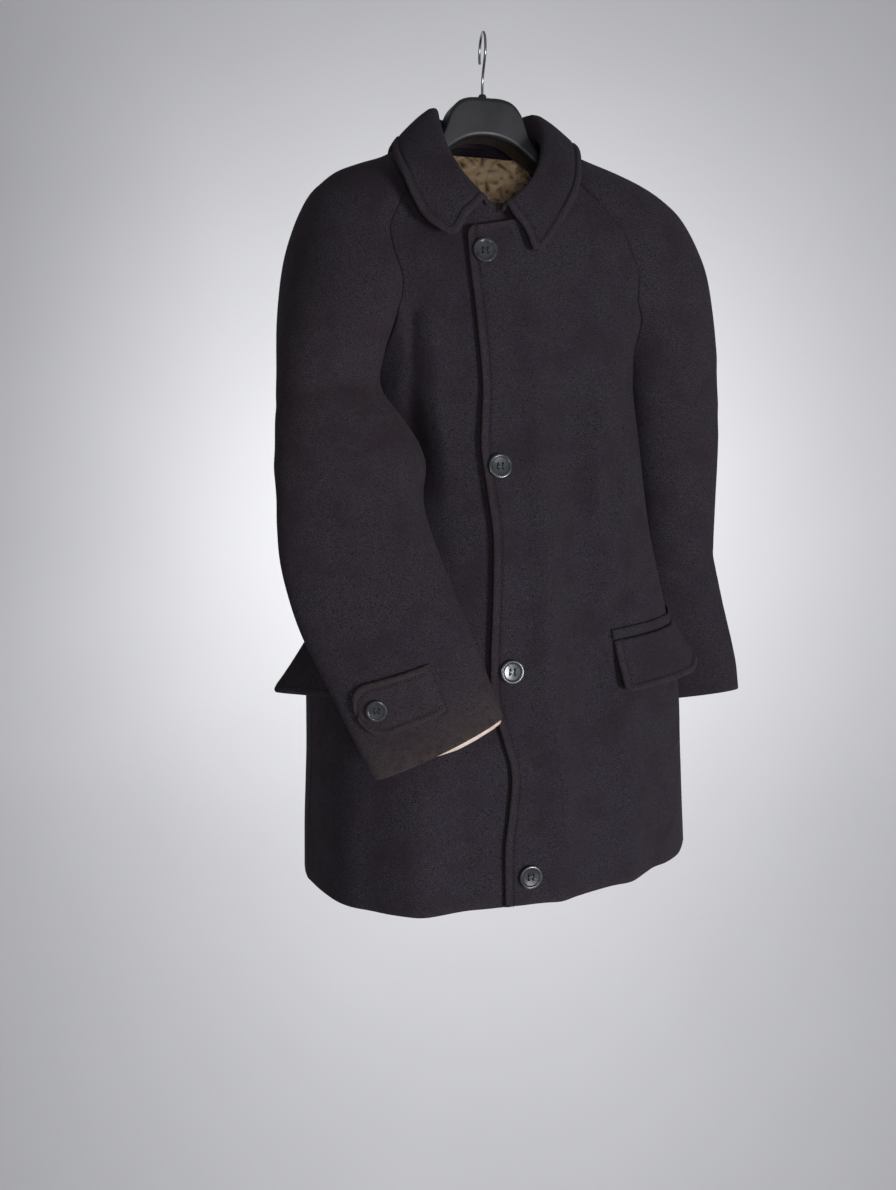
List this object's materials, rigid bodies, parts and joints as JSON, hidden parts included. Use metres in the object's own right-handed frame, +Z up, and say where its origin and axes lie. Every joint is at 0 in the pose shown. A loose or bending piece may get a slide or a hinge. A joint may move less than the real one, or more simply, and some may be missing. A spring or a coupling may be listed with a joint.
{
  "type": "wool coat on clothes hanger",
  "caption": "Raglan-sleeve wool coat, buttoned and hanging on a broad plastic clothes hanger with a wire hook; one sleeve crosses the front.",
  "frame": {"origin": "inside of the hanger hook's bend, at its top, where a rail or wall hook carries it", "axes": "+Z up; -Y the way the coat's front faces; +X towards the wearer's left sleeve"},
  "size_m": [0.6109, 0.3133, 0.9731],
  "materials": {
    "wool": "milled wool coating with a short soft nap, charcoal with a purple-brown and blue-grey fleck",
    "lining": "crushed tan-gold satin, semi-gloss",
    "cuff_lining": "cream-pink satin, semi-gloss",
    "button": "smoky translucent polyester, polished",
    "hanger_plastic": "moulded black polystyrene, satin",
    "steel_wire": "bright nickel-plated steel wire"
  },
  "bodies": {
    "root": {"front_left": "wool", "front_right": "wool", "back": "wool", "sleeve_left": "wool", "sleeve_right": "wool", "collar": "wool", "neck_lining": "lining", "cuff_lining": "cuff_lining", "pocket_flap_left": "wool", "pocket_flap_right": "wool", "pocket_welt_left": "wool", "pocket_welt_right": "wool", "cuff_strap_left": "wool", "cuff_strap_right": "wool", "button_1": "button", "button_2": "button", "button_3": "button", "button_4": "button", "cuff_button_left": "button", "cuff_button_right": "button", "hanger_body": "hanger_plastic", "hanger_hook": "steel_wire", "hanger_bead": "hanger_plastic"}
  },
  "joints": []
}
